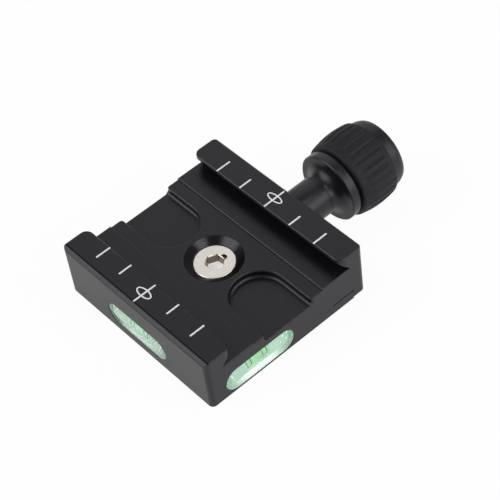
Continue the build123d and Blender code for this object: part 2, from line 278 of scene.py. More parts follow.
def rounded(corners, radii, steps=4, closed=False):
    """Polyline with its corners rounded.

    Each corner gives way to a circular arc, written as a rational quadratic curve from a point before the
    corner to one after it, whose middle weight is the sine of half the corner's angle.
    """
    corners = np.array(corners, float)
    radii = np.broadcast_to(np.array(radii, float), len(corners)).copy()
    if not closed:
        radii[[0, -1]] = 0
    before = np.roll(corners, 1, 0) - corners
    after = np.roll(corners, -1, 0) - corners
    before /= np.linalg.norm(before, axis=1)[:, None]
    after /= np.linalg.norm(after, axis=1)[:, None]
    half = np.arccos(np.clip((before * after).sum(1), -1, 1)) / 2
    reach = (radii / np.tan(np.clip(half, 0.05, pi / 2 - 1e-6)))[:, None, None]
    t = np.linspace(0, 1, steps + 1)[None, :, None]
    start = corners[:, None] + before[:, None] * reach
    end = corners[:, None] + after[:, None] * reach
    first, middle, last = (1 - t) ** 2, 2 * np.sin(half)[:, None, None] * t * (1 - t), t ** 2
    curve = (first * start + middle * corners[:, None] + last * end) / (first + middle + last)
    points = curve.reshape(-1, 2)
    gap = np.linalg.norm(np.diff(points, axis=0), axis=1)
    return points[np.concatenate(([True], gap > 1e-7))]


def refined(profile, longest):
    """Profile with extra points, so that no step along it is longer than given."""
    steps = np.ceil(np.linalg.norm(np.diff(profile, axis=0), axis=1) / longest).astype(int)
    parts = [np.linspace(start, end, count, endpoint=False)
             for start, end, count in zip(profile, profile[1:], steps)]
    return np.concatenate((*parts, profile[-1:]))


def circles(along, radius, angle, axis, first, second, centre=0):
    """Points on circles round an axis: a place along it, and two directions by cosine and sine."""
    along, radius, angle = (values[..., None] for values in np.broadcast_arrays(along, radius, angle))
    return centre + along * axis + radius * np.cos(angle) * first + radius * np.sin(angle) * second


def about_knob(along, radius, angle):
    return circles(along, radius, angle, X, Y, Z, AXIS_HEIGHT * Z)


def about_bush(along, radius, angle):
    return circles(along, radius, angle, Z, X, Y)


def turned(profile, columns, place=about_knob, ring=False):
    """Surface of revolution: each point of the profile, a place along the axis and a radius, is a circle.

    An open profile starts and ends on the axis, and a ring's profile is closed.
    """
    angle = np.linspace(0, tau, columns, endpoint=False)[None, :]
    if ring:
        return shell(place(profile[:, :1], profile[:, 1:], angle), ring=True)
    grid = place(profile[1:-1, :1], profile[1:-1, 1:], angle)
    poles = [place(profile[k, 0], 0.0, 0.0) for k in (0, -1)]
    return shell(grid, poles=poles)


def tooth(phase):
    """Height of a thread's flank, 0 at the root and 1 at the crest, with both slightly flattened."""
    wave = np.abs((phase % 1.0) * 2 - 1)
    return np.clip(wave * 1.3 - 0.15, 0, 1)


def smooth_step(value, low, high):
    """0 up to the low value, 1 from the high value on, and a smooth cubic rise between them."""
    t = np.clip((value - low) / (high - low), 0, 1)
    return t * t * (3 - 2 * t)


# Finishes

def anodised(name, colour, roughness):
    """Bead-blasted black anodising: fine even grain, faint clouds of tone and softly rounded edges.

    Upper edges are painted lighter, partly as wear and partly as painted highlight, most of all away from the
    fixed lip, and the one along the outer face is rounded more. The countersink is cut on a lathe and shines
    more than the blasted faces; painted shade darkens its front, the slit between the ledge and the jaw and
    the two lines of the outer chamfer.
    """
    finish = Finish(name, {"IOR": 1.45, "Specular Tint": (0.92, 0.92, 1.0, 1)})
    clouds = finish.noise(90.0, 3.0)
    specks = finish.noise(6600.0, 2.0)
    x, y, z = finish.axes()

    # Upper edges painted lighter: partly edge wear, partly painted highlight.
    lowest_lightened_edge, fixed_lip_end = 8.3 * MM, -10 * MM
    wear_and_highlight = finish.edges(0.2 * MM) * z.above(lowest_lightened_edge) * (x.above(fixed_lip_end) * 0.45 + 0.55)
    shades = finish.mix(clouds * 0.6 + specks * 0.4, tone(colour, 0.8), tone(colour, 1.25))
    finish.feed("Base Color", finish.mix(wear_and_highlight, shades, (0.1, 0.1, 0.105, 1)))

    countersink_radius = 7.04 * MM
    countersunk = 1 - ((x * x + y * y) ** 0.5).above(countersink_radius)
    finish.feed("Roughness", roughness - 0.06 + clouds * 0.06 + specks * 0.06 - countersunk * 0.14)

    outer_edge = (1 - x.above((OUTER_X + 1.5) * MM)) * z.above((TOP_Z - 1.5) * MM)
    rounding = finish.node("ShaderNodeMix", {"data_type": "VECTOR"}, {
        0: outer_edge, 4: finish.soft_edges(0.3 * MM), 5: finish.soft_edges(0.4 * MM)}, 1)
    finish.relief(specks, 0.012 * MM, 0.5, rounding)

    # Painted shade: a near-black diffuse shader takes over the countersink's front, a band round the slit
    # between ledge and jaw, and two lines along the outer chamfer.
    slit_heights, slit_reach, slit_end = (2.68 * MM, 3.02 * MM), (13.0 * MM, 19.3 * MM), 24.75 * MM
    front = finish.ramp(y, -2.5 * MM, -4.5 * MM, 0.85) * countersunk
    slit = z.between(*slit_heights) * x.between(*slit_reach) * (y * y).above(slit_end ** 2)
    on_top, on_face = z.above((TOP_Z - 0.1) * MM), 1 - x.above((OUTER_X + 0.1) * MM)
    upper_line = x.between((OUTER_X + 0.8) * MM, (OUTER_X + 1.2) * MM) * on_top
    lower_line = z.between((TOP_Z - 1.0) * MM, (TOP_Z - 0.8) * MM) * on_face
    painted_shade = finish.node("ShaderNodeBsdfDiffuse", {}, {"Color": grey(0.004)})
    finish.blend(front + slit * 0.8 + upper_line * 0.7 + lower_line * 0.35, painted_shade)
    return finish.material


def turned_black(name, colour, roughness):
    """Turned and anodised: fine lathe rings along the stud's axis and round it under a satin black."""
    finish = Finish(name, {"IOR": 1.45, "Specular Tint": (0.92, 0.92, 1.0, 1)})
    x, y, z = finish.axes()
    height = z - AXIS_HEIGHT * MM
    radius = (y * y + height * height) ** 0.5
    cut_along, cut_across = 0.16 * MM, 0.19 * MM
    rings = (x * (tau / cut_along)).sin() * 0.5 + (radius * (tau / cut_across)).sin() * 0.5
    clouds = finish.noise(160.0, 2.0)
    finish.feed("Base Color", finish.mix(clouds, tone(colour, 0.75), tone(colour, 1.3)))
    finish.feed("Roughness", roughness - 0.04 + clouds * 0.08)
    grain = finish.noise(5000.0)
    finish.relief(rings * 0.25 + 0.5 + grain * 0.3, 0.004 * MM, 0.5, finish.soft_edges(0.12 * MM))
    return finish.material


def rubber(name, colour):
    """Moulded rubber: matt, with a fine grain and faint bloom."""
    finish = Finish(name, {"Specular IOR Level": 0.26, "IOR": 1.5})
    bloom = finish.noise(240.0, 4.0)
    grain = finish.noise(4800.0, 3.0)
    finish.feed("Base Color", finish.mix(bloom, tone(colour, 0.85), tone(colour, 1.2)))
    finish.feed("Roughness", 0.5 + grain * 0.12 + bloom * 0.06)
    finish.relief(grain, 0.02 * MM, 0.4)
    return finish.material


def faced_nickel(name, colour):
    """Nickel-plated and faced on a lathe: concentric rings round the bush's axis, stains and scratches.

    The socket's sides are dark, and its floor is rough from the drill, shown as less metallic, and glows with
    painted light.
    """
    finish = Finish(name, {"Emission Strength": 0.45})
    x, y, z = finish.axes()
    radius = (x * x + y * y) ** 0.5
    ring_pitch = 0.23 * MM
    rings = (radius * (tau / ring_pitch)).sin() * 0.5 + finish.noise(3200.0, 3.0) * 0.9
    stains = finish.noise(1500.0, 4.0) * 0.6 + finish.noise(300.0, 2.0) * 0.4
    recess = 1 - z.above((BUSH_TOP - 0.3) * MM)
    side = z.above((BUSH_TOP - BUSH_SOCKET_DEPTH + 0.1) * MM) * recess
    floor = recess - side
    face = finish.mix(stains, tone(colour, 0.8), tone(colour, 1.12))
    finish.feed("Base Color", finish.mix(side * 0.95, face, (0.17, 0.135, 0.11, 1)))
    finish.feed("Metallic", 1 - floor * 0.7)
    # Painted light: the socket's floor glows white to pale grey.
    finish.feed("Emission Color", finish.mix(floor, grey(0.0), finish.mix(stains, grey(0.6), grey(1.0))))
    finish.feed("Roughness", 0.3 + stains * 0.12)
    finish.relief(rings, 0.009 * MM, 0.6, finish.soft_edges(0.06 * MM))
    return finish.material


def plated_steel(name, colour, roughness):
    """Zinc-plated steel: fine drawn lines and slight cloudiness."""
    finish = Finish(name, {"Metallic": 1.0})
    lines = finish.noise(1500.0, 3.0, (0.15, 1.0, 1.0))
    clouds = finish.noise(300.0, 3.0)
    finish.feed("Base Color", finish.mix(clouds, tone(colour, 0.85), colour))
    finish.feed("Roughness", roughness + lines * 0.12)
    finish.relief(lines, 0.006 * MM, 0.4)
    return finish.material


def clear_acrylic(name):
    """Polished acrylic with a faint green cast and a few fine scratches."""
    finish = Finish(name, {
        "Base Color": (0.95, 1.0, 0.96, 1), "Transmission Weight": 1.0, "IOR": 1.3, "Roughness": 0.0})
    finish.relief(finish.noise(900.0, 3.0), 0.01 * MM, 0.12)
    return finish.material


def glowing(name, colour, painted_glow, roughness=0.25, stretch=None, middle=None):
    """Green of the vials: slightly uneven, and shining with painted light.

    With a stretch and a middle given, it is streaked along the vial, darker and greener away from the
    middle as painted shade, and flecked with white as painted glints.
    """
    finish = Finish(name, {
        "IOR": 1.45, "Specular IOR Level": 0.3, "Roughness": roughness, "Emission Strength": painted_glow})
    depth = finish.noise(900.0 if stretch else 180.0, 3.0, stretch)
    shade = finish.mix(depth, tone(colour, 0.55 if stretch else 0.8), colour)
    if middle:
        # Painted shade: darker and greener away from the vial's middle.
        far = finish.ramp(finish.vectors("DISTANCE", finish.place, middle), 4.5 * MM, 9 * MM)
        shade = finish.mix(far, shade, tone(colour, (0.25, 0.36, 0.28)))
        # Painted glints: small white flecks.
        glint_flecks = finish.noise(1900.0, 4.0).above(0.6)
        shade = finish.mix(glint_flecks * 0.55, shade, grey(0.95))
    finish.feed("Base Color", shade)
    # Painted light: the colour also shines as emission.
    finish.feed("Emission Color", shade)
    return finish.material


def paint(name, colour):
    """Thin screen-printed paint with a slightly uneven face."""
    finish = Finish(name, {"Specular IOR Level": 0.3})
    grain = finish.noise(5200.0, 3.0)
    finish.feed("Base Color", finish.mix(grain, tone(colour, 0.9), colour))
    finish.feed("Roughness", 0.45 + grain * 0.2)
    finish.relief(grain, 0.01 * MM, 0.3)
    return finish.material


def floor_white(name):
    """Pale matt floor that the camera sees as plain white, and that shines as white in glossy faces."""
    finish = Finish(name, {"Base Color": grey(0.9), "Specular IOR Level": 0.1})
    finish.feed("Roughness", 0.8 + finish.noise(900.0) * 0.1)
    sight, glossy, through = (finish.node("ShaderNodeLightPath", {}, {}, f"Is {kind} Ray")
                              for kind in ("Camera", "Glossy", "Transmission"))
    white = finish.node("ShaderNodeEmission", {}, {"Color": grey(1.0), "Strength": 1.0})
    finish.blend(sight * 0.95 + glossy * 0.55 + through * 0.55, white)
    return finish.material


def dress(material, *nodes):
    """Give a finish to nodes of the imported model."""
    for name in nodes:
        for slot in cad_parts[name].material_slots:
            slot.material = material


# Sizes and colours that a user would change

def amount(name, text, value, **more):
    return FloatProperty(name=name, description=text, default=value, min=0.0, **more)


def length(name, text, value):
    return amount(name, text, value, subtype="DISTANCE", unit="LENGTH")


def tint(name, text, value):
    return FloatVectorProperty(
        name=name, description=text, default=value, size=4, min=0.0, max=1.0, subtype="COLOR")


class ClampPlates(bpy.types.PropertyGroup):
    colour: tint("Anodising", "Colour of the anodised plates", (0.0042, 0.0042, 0.0054, 1))
    roughness: amount("Roughness", "Roughness of the blasted plates", 0.33, max=1.0, subtype="FACTOR")


class ClampKnob(bpy.types.PropertyGroup):
    colour: tint("Anodising", "Colour of the turned knob", (0.0078, 0.0078, 0.0098, 1))
    rubber_colour: tint("Rubber", "Colour of the grip", (0.0112, 0.0116, 0.0145, 1))
    flutes: IntProperty(name="Flutes", description="Number of flutes round the grip", default=28, min=3)
    flute_depth: length("Flute depth", "Depth of a flute at its deepest", 0.34 * MM)
    edge_radius: length("Edge radius", "Rounding of the turned edges", 0.12 * MM)


class ClampMetal(bpy.types.PropertyGroup):
    nickel: tint("Nickel", "Colour of the centre bush", (0.96, 0.90, 0.85, 1))
    steel: tint("Steel", "Colour of the plated steel", (0.52, 0.52, 0.53, 1))
    black_steel: tint("Black steel", "Colour of the lock screw", (0.05, 0.05, 0.052, 1))
    spring_steel: tint("Spring steel", "Colour of the spring wire", (0.42, 0.42, 0.43, 1))
    thread_pitch: length("Stud pitch", "Pitch of the stud's thread", 0.8 * MM)
    bush_pitch: length("Bush pitch", "Pitch of the bush's inner thread", 1.27 * MM)


class ClampMarks(bpy.types.PropertyGroup):
    colour: tint("Paint", "Colour of the marks", (0.79, 0.79, 0.80, 1))
    width: length("Width", "Width of a line", 0.44 * MM)
    ring_width: length("Ring width", "Width of the ring's line", 0.34 * MM)
    ring_length: length("Ring length", "Length of the oval ring along the channel", 4.3 * MM)


class ClampVials(bpy.types.PropertyGroup):
    liquid: tint("Liquid", "Colour of the vial liquid", (0.55, 0.76, 0.63, 1))
    side_bubble: tint("Side bubble", "Colour of the side vial's bubble", (0.52, 0.81, 0.60, 1))
    end_bubble: tint("End bubble", "Colour of the end vial's bubble", (0.38, 0.71, 0.41, 1))
    # Painted light: how strongly the liquid, bubble, frosting and glints of the vials shine.
    painted_glow: amount("Glow", "Fluorescence of the vials", 0.22)
    line_gap: length("Line gap", "Half the distance between the graduation lines", 2.35 * MM)
    bubble_length: length("Bubble length", "Length of the bubble", 6.6 * MM)


class ClampStage(bpy.types.PropertyGroup):
    floor_radius: length("Floor radius", "Radius of the floor", 3.0)
    sky: amount("Sky", "Brightness of the surrounding light", 0.2)
    lamps: amount("Lamps", "Brightness of the lamps against their plain level", 1.0)


GROUPS = {
    "clamp_plates": ClampPlates,
    "clamp_knob": ClampKnob,
    "clamp_metal": ClampMetal,
    "clamp_marks": ClampMarks,
    "clamp_vials": ClampVials,
    "clamp_stage": ClampStage,
}


# Operators

class CLAMP_OT_plates(bpy.types.Operator):
    """Give the body and the sliding jaw their blasted black anodising"""
    bl_idname = "clamp.plates"
    bl_label = "Plates"

    def execute(self, context):
        sizes = context.scene.clamp_plates
        dress(anodised("black_anodised", sizes.colour, sizes.roughness), "body", "sliding_jaw")
        return {"FINISHED"}


class CLAMP_OT_knob(bpy.types.Operator):
    """Turn the knob's core and cap and mould its fluted grip"""
    bl_idname = "clamp.knob"
    bl_label = "Knob"

    def execute(self, context):
        sizes = context.scene.clamp_knob
        colour, edge = sizes.colour, sizes.edge_radius / MM
        self.turn_core(turned_black("turned_black", colour, 0.34), edge)
        self.mould_grip(rubber("rubber", sizes.rubber_colour), sizes)
        self.turn_cap(turned_black("satin_black", colour, 0.40), edge)
        return {"FINISHED"}

    def turn_core(self, finish, edge):
        """Closed profile of neck, quarter-circle flare, collar, hub and bore, carried round the axis."""
        neck_length, neck_radius, neck_step, flare = 8.9, 5.13, 0.35, 2.9
        collar_thickness, collar_chamfer = 2.45, 0.24
        bore_radius, bore_end = 2.55, cap_low[0] - 11.4
        start, end, rim = core_low[0], core_high[0], core_high[2] - AXIS_HEIGHT
        neck_end, flare_start = start + neck_length, neck_radius - neck_step
        collar, flare_end = neck_end + flare, flare_start + flare
        collar_end = collar + collar_thickness
        turn = np.linspace(-pi / 2, 0, 15)[1:-1]
        arc = np.stack((neck_end + flare * np.cos(turn), flare_end + flare * np.sin(turn)), -1)
        # Corners of the profile, each with its rounding
        corners = [
            *((point, 0) for point in arc.tolist()), ((collar, flare_end), 0.1),
            ((collar, rim - collar_chamfer), 0.04), ((collar + collar_chamfer, rim), 0.04),
            ((collar_end, rim), edge * 1.6), ((collar_end, HUB_RADIUS), 0.05), ((end, HUB_RADIUS), 0.05),
            ((end, KNOB_CAVITY_RADIUS), 0.05), ((bore_end, KNOB_CAVITY_RADIUS), 0.05),
            ((bore_end, bore_radius), 0.05), ((start, bore_radius), 0.2), ((start, neck_radius), edge),
            ((neck_end, neck_radius), edge), ((neck_end, flare_start), 0.06),
        ]
        surface = turned(rounded(*zip(*corners), closed=True), 160, ring=True)
        piece("knob_core_turned", [surface], finish, "knob", "black_anodised_turned", ["knob_core"])

    def mould_grip(self, finish, sizes):
        """Barrel with narrow flutes.

        The crown is a parabola of radius over the length, through the radii at both ends and the middle,
        with a quarter circle at each end. A flute takes off its depth times a power of a cosine across it,
        times a rise and fall along it, so that it dies out before both ends.
        """
        start, end, end_rounding = grip_low[0], grip_high[0], 0.45
        first, middle, last = 9.55, grip_high[2] - AXIS_HEIGHT, 9.9
        along = np.linspace(start, end, 61)
        share = (along - start) / (end - start)
        crown = (first * (1 - share) * (1 - 2 * share) + middle * 4 * share * (1 - share)
                 + last * share * (2 * share - 1))
        rounding = np.clip(end_rounding - np.minimum(along - start, end - along), 0, end_rounding)
        crown = crown - end_rounding + np.sqrt(end_rounding ** 2 - rounding ** 2)

        columns, pitch_over_width, steepness = sizes.flutes * 18, 1.9, 1.3
        angle = np.linspace(0, tau, columns, endpoint=False)
        phase = (angle * sizes.flutes / tau) % 1.0
        across = np.clip((phase - 0.5) * pitch_over_width, -0.5, 0.5)
        groove = np.clip(np.cos(across * pi), 0, 1) ** steepness
        fade = smooth_step(share, 0.08, 0.3) * (1 - smooth_step(share, 0.8, 0.95))
        outside = crown[:, None] - sizes.flute_depth / MM * fade[:, None] * groove
        radius = np.concatenate((outside, np.full((2, columns), HUB_RADIUS)))
        grid = about_knob(np.concatenate((along, [end, start]))[:, None], radius, angle)
        piece("knob_grip_moulded", [shell(grid, ring=True)], finish, "knob", "rubber", ["knob_grip"],
              sharp_angle=50.0)

    def turn_cap(self, finish, edge):
        """Profile of the end cap from its spigot to the shallow dish in its end, carried round the axis."""
        start, face, end = cap_low[0], grip_high[0] + 0.03, cap_high[0]
        face_radius, shoulder_radius, end_radius, shoulder_length = 9.3, 9.0, 8.45, 2.2
        dish_radius, dish_floor_radius, dish_floor = 6.4, 5.9, end - 0.25
        # Corners of the profile, each with its rounding
        corners = [
            ((start, 0), 0), ((start, KNOB_CAVITY_RADIUS), 0.1), ((face, KNOB_CAVITY_RADIUS), 0.05),
            ((face, face_radius), edge * 2), ((face + shoulder_length, shoulder_radius), 1.2),
            ((end, end_radius), edge * 3), ((end, dish_radius), edge * 2),
            ((dish_floor, dish_floor_radius), edge * 2), ((dish_floor, 0), 0),
        ]
        surface = turned(refined(rounded(*zip(*corners), 6), 0.6), 160)
        piece("knob_cap_turned", [surface], finish, "knob", "black_anodised_turned", ["knob_cap"])


class CLAMP_OT_bush(bpy.types.Operator):
    """Make the nickel-plated centre bush with its hexagon socket, index hole and inner thread"""
    bl_idname = "clamp.bush"
    bl_label = "Centre bush"

    def execute(self, context):
        """Rings round the bush's axis, from the socket's floor out over the face and back up the bore.

        A hexagon's radius is its half width over the cosine of the angle from the middle of its side.
        The index hole is a drop in the face inside a small circle. The thread is a ridge whose place along
        the axis grows by one pitch per turn.
        """
        sizes = context.scene.clamp_metal
        socket_width, socket_turn, mouth_chamfer = 4.0, radians(35), 0.22
        head_radius, head_thickness, body_radius = 5.0, 0.9, 4.76
        hole_x, hole_y, hole_radius, hole_depth = 2.36, -0.42, 0.86, 0.9
        thread_root, thread_depth, thread_end, bore_end, bore_end_radius = 3.12, 0.5, 5.2, 5.4, 2.6
        top, floor = BUSH_TOP, BUSH_TOP - BUSH_SOCKET_DEPTH
        angle = socket_turn + np.linspace(0, tau, 480, endpoint=False)[None, :]
        side = (angle - socket_turn) % (pi / 3) - pi / 6
        hexagon = socket_width / 2 / np.cos(side)
        wall = floor + (top - mouth_chamfer - floor) * np.linspace(0.1, 1, 8)[:, None]

        mouth, face_end = hexagon * 0.7 + 0.79, 4.78
        face_radius = mouth + (face_end - mouth) * np.linspace(0, 1, 64)[:, None]
        away = np.hypot(face_radius * np.cos(angle) - hole_x, face_radius * np.sin(angle) - hole_y)
        inside = 1 - smooth_step(away, hole_radius * 0.82, hole_radius)
        face = top - hole_depth * inside * smooth_step(face_radius - mouth, 0.02, 0.1)

        bore = np.linspace(0.0, thread_end, 96)[:, None]
        ridge = tooth(bore / (sizes.bush_pitch / MM) - angle / tau) * smooth_step(bore, 0.0, 0.8)
        profile = [
            (floor - 0.25, 0.4), (floor - 0.02, hexagon * 0.9), (floor + 0.06, hexagon), (wall, hexagon),
            (face, face_radius), (top - 0.03, head_radius - 0.13), (top - 0.12, head_radius - 0.04),
            (top - 0.22, head_radius), (top - head_thickness, head_radius),
            (top - head_thickness, body_radius), (0.25, body_radius), (0, body_radius - 0.26),
            (bore, thread_root - thread_depth * ridge), (bore_end, bore_end_radius),
        ]
        rings = [np.broadcast_arrays(height, radius, angle) for height, radius in profile]
        along, radius = (np.concatenate([ring[k] for ring in rings]) for k in (0, 1))
        surface = shell(about_bush(along, radius, angle), poles=[(0, 0, floor - 0.35), (0, 0, bore_end)])
        nickel = faced_nickel("faced_nickel", sizes.nickel)
        piece("centre_bush_faced", [surface], nickel, "base", "nickel_steel", ["centre_bush"],
              sharp_angle=28.0)
        return {"FINISHED"}


class CLAMP_OT_stud(bpy.types.Operator):
    """Thread the clamp stud and finish the small steel pieces round it"""
    bl_idname = "clamp.stud"
    bl_label = "Stud and steel"

    def execute(self, context):
        """Rings along the stud whose radius drops by the thread's height, its phase one pitch per turn."""
        sizes = context.scene.clamp_metal
        pitch, steps_per_turn, end_chamfer = sizes.thread_pitch / MM, 8, 0.4
        start, end, crest = stud_low[0], stud_high[0], stud_high[2] - AXIS_HEIGHT
        screw_hole_radius, screw_hole_end = 1.25, end - 6.0
        plain_until, threaded_from = start + 5.2, start + 6.4
        first, last = start + end_chamfer, end - end_chamfer
        angle = np.linspace(0, tau, 40, endpoint=False)[None, :]
        along = np.linspace(first, last, int((last - first) / pitch * steps_per_turn))[:, None]
        depth = 0.54 * pitch * smooth_step(along, plain_until, threaded_from)
        profile = [
            (start, crest - end_chamfer), (along, crest - depth * (1 - tooth(along / pitch - angle / tau))),
            (end, crest - end_chamfer), (end, screw_hole_radius), (screw_hole_end, screw_hole_radius),
        ]
        grid = np.concatenate([about_knob(place, radius, angle) for place, radius in profile])
        surface = shell(grid, poles=[(place, 0, AXIS_HEIGHT) for place in (start, screw_hole_end)])
        steel = plated_steel("plated_steel", sizes.steel, 0.26)
        piece("clamp_stud_threaded", [surface], steel, "base", "plated_steel", ["clamp_stud"],
              sharp_angle=50.0)
        dress(steel, "thrust_washer", "stop_washer", "stop_screw", "guide_pin_front", "guide_pin_rear")
        dress(plated_steel("black_oxide", sizes.black_steel, 0.4), "stud_lock_screw")
        return {"FINISHED"}


class CLAMP_OT_springs(bpy.types.Operator):
    """Wind the two return springs, which stretch as the jaw opens"""
    bl_idname = "clamp.springs"
    bl_label = "Return springs"

    def execute(self, context):
        """Round wire on a helix: its centre goes round the spring's axis and along it, slower at the ends."""
        wire = plated_steel("spring_wire", context.scene.clamp_metal.spring_steel, 0.22)
        wire_radius, coil_radius, turns, end_slowing = 0.225, 1.65, 7.5, 0.096
        for side in ("front", "rear"):
            low, high = node_box(f"return_spring_{side}")
            reach = (high[0] - low[0]) / 2 - wire_radius
            share = np.linspace(-1, 1, int(turns * 28) + 1)[:, None]
            angle = share * turns / 2 * tau
            along = reach * (share + end_slowing * np.sin(pi * share))
            slope = np.gradient(along[:, 0], angle[:, 0])[:, None]
            outward = np.stack((0 * angle, np.cos(angle), np.sin(angle)), -1)
            forward = np.stack((slope, -coil_radius * np.sin(angle), coil_radius * np.cos(angle)), -1)
            forward /= np.linalg.norm(forward, axis=-1, keepdims=True)
            across = np.cross(forward, outward)
            centre = (low + high) / 2 + along[..., None] * X + coil_radius * outward
            section = np.linspace(0, tau, 12, endpoint=False)[None, :, None]
            grid = centre + wire_radius * (np.cos(section) * outward + np.sin(section) * across)
            surface = shell(grid, poles=[centre[0, 0], centre[-1, 0]])
            made = piece(f"return_spring_{side}_coil", [surface], wire, None, "spring_steel",
                         [f"return_spring_{side}"], sharp_angle=60.0)
            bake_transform(made)
        return {"FINISHED"}


class CLAMP_OT_marks(bpy.types.Operator):
    """Print the white centring marks on both lips"""
    bl_idname = "clamp.marks"
    bl_label = "Marks"

    def execute(self, context):
        """Five lines across each lip, the middle one through an oval ring and down the fixed lip's edge."""
        sizes = context.scene.clamp_marks
        white = paint("white_paint", sizes.colour)
        width, ring_width, ring_length = sizes.width / MM, sizes.ring_width / MM, sizes.ring_length / MM
        line_lengths, from_edge = (4.1, 3.65, 6.4, 3.65, 4.1), 0.05
        # Inner edge of the lip and the way out from it, body, lines' places, ring's place and half width
        lips = {
            "fixed": (OUTER_X + 7.5, -1, "base", (-16.25, -7.8, 0.3, 8.8, 16.4), (-19.68, 0.42, 0.95)),
            "sliding": (jaw_high[0] - 7.05, 1, "jaw", (-16.5, -8.4, -0.05, 8.42, 16.35), (19.38, 0.02, 0.84)),
        }
        for name, (edge, outward, body, places, oval) in lips.items():
            marks = []
            for place, reach in zip(places, line_lengths):
                ends = sorted(edge + outward * distance for distance in (from_edge, from_edge + reach))
                marks.append(self.bar(*ends, place, width))
            marks.append(self.ring(*oval, ring_length / 2, ring_width))
            if name == "fixed":
                marks.append(self.bar(OUTER_X + 0.3, OUTER_X + OUTER_ROUNDING, places[2], width, radians(45)))
            piece(f"marks_{name}", marks, white, body, "black_anodised")
        return {"FINISHED"}

    def bar(self, start, end, middle, width, slope=0.0):
        """Thin slab: a rectangle with round corners, once below the lip's face and twice above it.

        With a slope it leans down over the outer edge, about the line where that edge's rounding starts.
        """
        low, high, inset = middle - width / 2, middle + width / 2, 0.012
        outline = rounded([(start, low), (end, low), (end, high), (start, high)], width * 0.22, closed=True)
        centre = np.array([(start + end) / 2, middle])
        drawn_in = centre + (outline - centre) * (1 - 2 * inset / np.array([end - start, width]))
        heights = TOP_Z + np.array([-0.02, 0.008, 0.014])
        rows = [np.column_stack((line, np.full(len(line), height)))
                for line, height in zip((outline, outline, drawn_in), heights)]
        hinge = np.array([OUTER_X + OUTER_ROUNDING, 0, TOP_Z])
        lean = np.array([[cos(slope), 0, sin(slope)], [0, 1, 0], [-sin(slope), 0, cos(slope)]])
        poles = np.array([(*centre, heights[0]), (*centre, heights[2])])
        return shell((np.stack(rows) - hinge) @ lean + hinge, poles=(poles - hinge) @ lean + hinge)

    def ring(self, x, y, across, lengthwise, width):
        """Thin oval ring: a small outline carried round an ellipse, its width along the ellipse's normal."""
        offset = width * np.array([-0.5, 0.5, 0.5, 0.46, -0.46, -0.5])[:, None, None]
        rise = np.array([-0.02, -0.02, 0.012, 0.018, 0.018, 0.012])[:, None, None]
        angle = np.linspace(0, tau, 96, endpoint=False)
        normal = np.stack((lengthwise * np.cos(angle), across * np.sin(angle)), -1)
        normal /= np.linalg.norm(normal, axis=1)[:, None]
        line = np.array([x, y]) + np.stack((across * np.cos(angle), lengthwise * np.sin(angle)), -1)
        flat = line + offset * normal
        return shell(np.concatenate((flat, TOP_Z + rise + 0 * flat[..., :1]), -1), ring=True)


